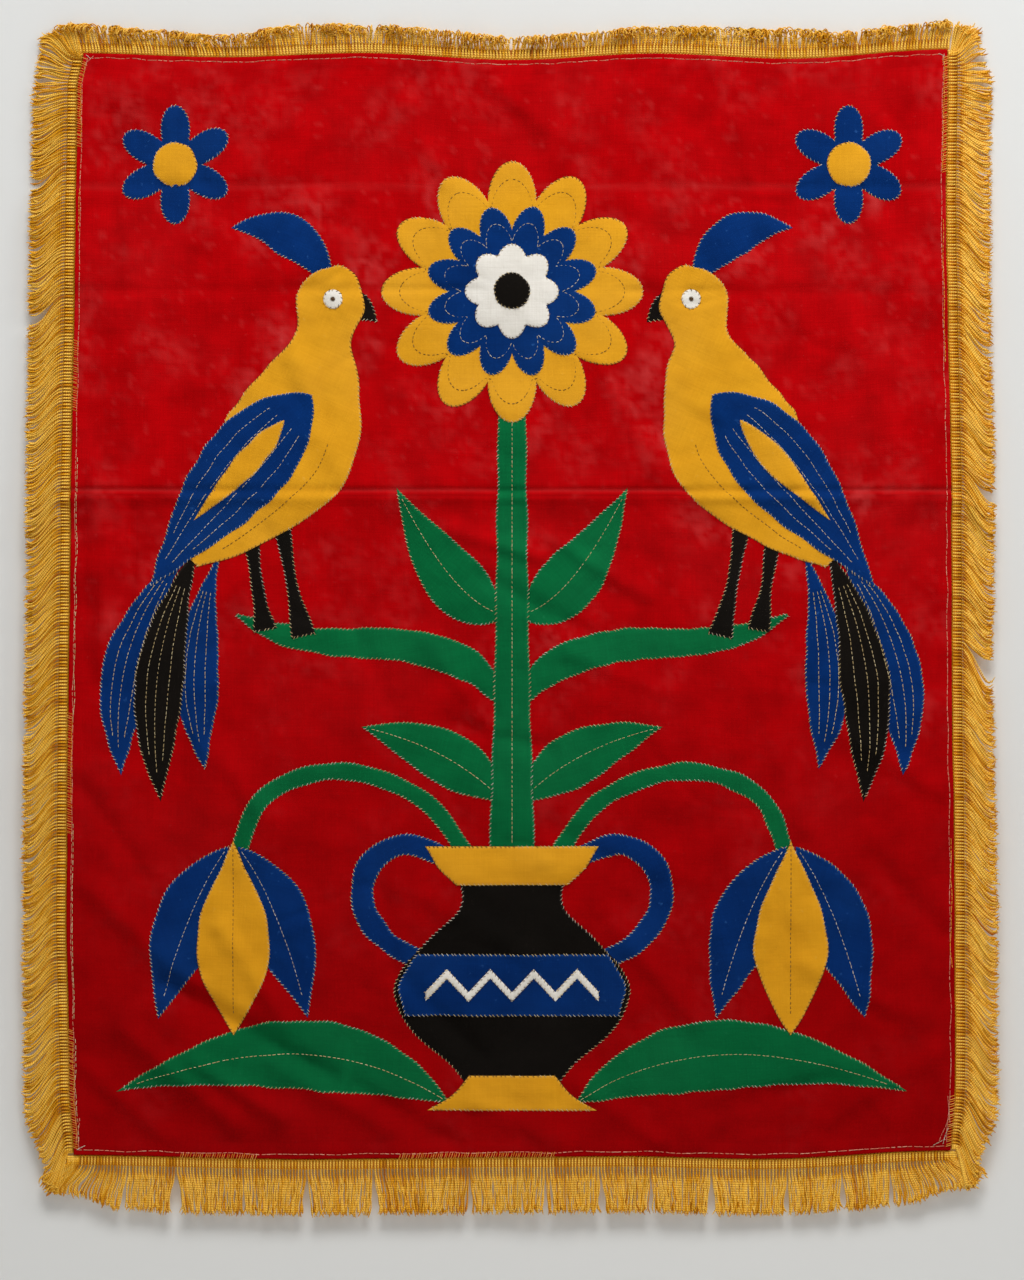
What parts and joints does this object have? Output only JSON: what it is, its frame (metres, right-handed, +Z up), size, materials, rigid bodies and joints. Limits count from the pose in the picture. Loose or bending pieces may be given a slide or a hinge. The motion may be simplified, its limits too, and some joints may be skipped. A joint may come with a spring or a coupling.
{
  "type": "applique flag",
  "caption": "Fringed red cotton flag with sewn-on cotton shapes of a vase, a flowering tree and facing birds, hanging flat from its top hem.",
  "frame": {"origin": "Middle of the top hem, on the plane of the wall that the flag hangs against", "axes": "+Z up along the flag, +Y from the front of the flag to its back and the wall, +X to the right seen from the front"},
  "size_m": [1.0149, 0.0255, 1.2415],
  "materials": {
    "red_cotton": "plain-weave cotton, deep red, washed and slightly faded",
    "yellow_cotton": "plain-weave cotton, golden yellow",
    "blue_cotton": "plain-weave cotton, deep blue",
    "green_cotton": "plain-weave cotton, dark green",
    "black_cotton": "plain-weave cotton, black",
    "white_cotton": "plain-weave cotton, off-white",
    "gold_fringe": "twisted rayon bullion fringe on a woven heading, old gold"
  },
  "bodies": {
    "root": {"beak_left": "black_cotton", "beak_right": "black_cotton", "bell_inner_left": "blue_cotton", "bell_inner_right": "blue_cotton", "bell_middle_left": "yellow_cotton", "bell_middle_right": "yellow_cotton", "bell_outer_left": "blue_cotton", "bell_outer_right": "blue_cotton", "bird_body_left": "yellow_cotton", "bird_body_right": "yellow_cotton", "bird_eye_left": "white_cotton", "bird_eye_right": "white_cotton", "branch_left": "green_cotton", "branch_right": "green_cotton", "corner_disc_left": "yellow_cotton", "corner_disc_right": "yellow_cotton", "corner_flower_left": "blue_cotton", "corner_flower_right": "blue_cotton", "crest_left": "blue_cotton", "crest_right": "blue_cotton", "flower_eye": "black_cotton", "flower_heart": "white_cotton", "flower_inner": "blue_cotton", "flower_outer": "yellow_cotton", "fringe_bottom": "gold_fringe", "fringe_left": "gold_fringe", "fringe_right": "gold_fringe", "fringe_top": "gold_fringe", "ground_cloth": "red_cotton", "handle_left": "blue_cotton", "handle_right": "blue_cotton", "leaf_base_left": "green_cotton", "leaf_base_right": "green_cotton", "leaf_lower_left": "green_cotton", "leaf_lower_right": "green_cotton", "leaf_upper_left": "green_cotton", "leaf_upper_right": "green_cotton", "leg_back_left": "black_cotton", "leg_back_right": "black_cotton", "leg_front_left": "black_cotton", "leg_front_right": "black_cotton", "stem_arched_left": "green_cotton", "stem_arched_right": "green_cotton", "tail_inner_left": "blue_cotton", "tail_inner_right": "blue_cotton", "tail_middle_left": "black_cotton", "tail_middle_right": "black_cotton", "tail_outer_left": "blue_cotton", "tail_outer_right": "blue_cotton", "trunk": "green_cotton", "vase_band": "blue_cotton", "vase_body": "black_cotton", "vase_foot": "yellow_cotton", "vase_rim": "yellow_cotton", "wing_bar_left": "yellow_cotton", "wing_bar_right": "yellow_cotton", "wing_left": "blue_cotton", "wing_right": "blue_cotton", "zigzag": "white_cotton"}
  },
  "joints": []
}
